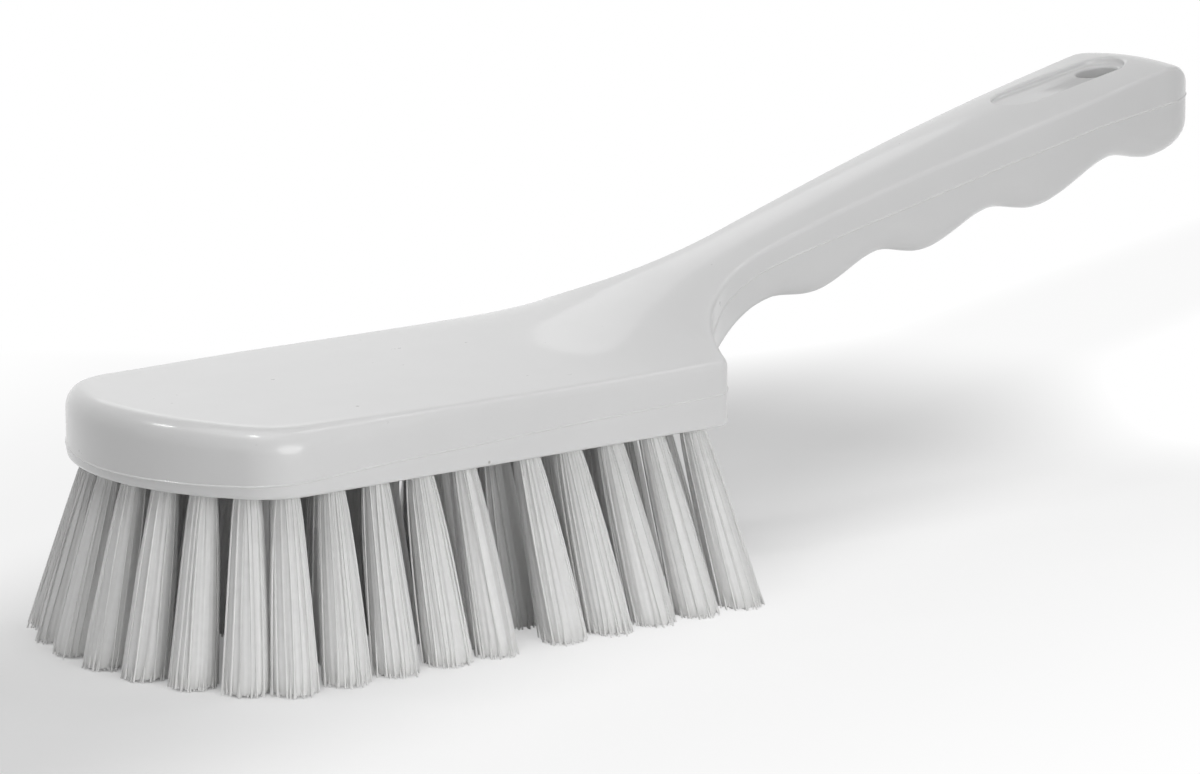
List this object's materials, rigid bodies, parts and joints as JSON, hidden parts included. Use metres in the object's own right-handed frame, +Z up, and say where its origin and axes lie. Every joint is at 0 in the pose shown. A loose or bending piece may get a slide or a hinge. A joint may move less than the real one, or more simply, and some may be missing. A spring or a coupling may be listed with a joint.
{
  "type": "scrub brush",
  "caption": "Short-handled scrub brush: one moulded block and handle with finger grips and a hanging hole, set with round tufts that fan outward.",
  "frame": {"origin": "centre of the brush's footprint at floor level, where the bristle tips stand", "axes": "+X from the nose of the head to the end of the handle, +Y across the brush, +Z up from the tips to the block"},
  "size_m": [0.2704, 0.0838, 0.0899],
  "materials": {
    "moulding": "glossy injection-moulded polypropylene, white",
    "bristle": "satin drawn polyester filament, white",
    "anchor": "plain rolled flat wire"
  },
  "bodies": {
    "root": {"anchors": "anchor", "block_and_handle": "moulding", "tuft_nose_1": "bristle", "tuft_nose_2": "bristle", "tuft_nose_3": "bristle", "tuft_nose_4": "bristle", "tuft_nose_5": "bristle", "tuft_nose_6": "bristle", "tuft_nose_7": "bristle", "tuft_row1_01": "bristle", "tuft_row1_02": "bristle", "tuft_row1_03": "bristle", "tuft_row1_04": "bristle", "tuft_row1_05": "bristle", "tuft_row1_06": "bristle", "tuft_row1_07": "bristle", "tuft_row1_08": "bristle", "tuft_row1_09": "bristle", "tuft_row1_10": "bristle", "tuft_row2_01": "bristle", "tuft_row2_02": "bristle", "tuft_row2_03": "bristle", "tuft_row2_04": "bristle", "tuft_row2_05": "bristle", "tuft_row2_06": "bristle", "tuft_row2_07": "bristle", "tuft_row2_08": "bristle", "tuft_row3_01": "bristle", "tuft_row3_02": "bristle", "tuft_row3_03": "bristle", "tuft_row3_04": "bristle", "tuft_row3_05": "bristle", "tuft_row3_06": "bristle", "tuft_row3_07": "bristle", "tuft_row4_01": "bristle", "tuft_row4_02": "bristle", "tuft_row4_03": "bristle", "tuft_row4_04": "bristle", "tuft_row4_05": "bristle", "tuft_row4_06": "bristle", "tuft_row4_07": "bristle", "tuft_row5_01": "bristle", "tuft_row5_02": "bristle", "tuft_row5_03": "bristle", "tuft_row5_04": "bristle", "tuft_row5_05": "bristle", "tuft_row5_06": "bristle", "tuft_row5_07": "bristle", "tuft_row5_08": "bristle", "tuft_row6_01": "bristle", "tuft_row6_02": "bristle", "tuft_row6_03": "bristle", "tuft_row6_04": "bristle", "tuft_row6_05": "bristle", "tuft_row6_06": "bristle", "tuft_row6_07": "bristle", "tuft_row6_08": "bristle", "tuft_row6_09": "bristle", "tuft_row6_10": "bristle"}
  },
  "joints": []
}
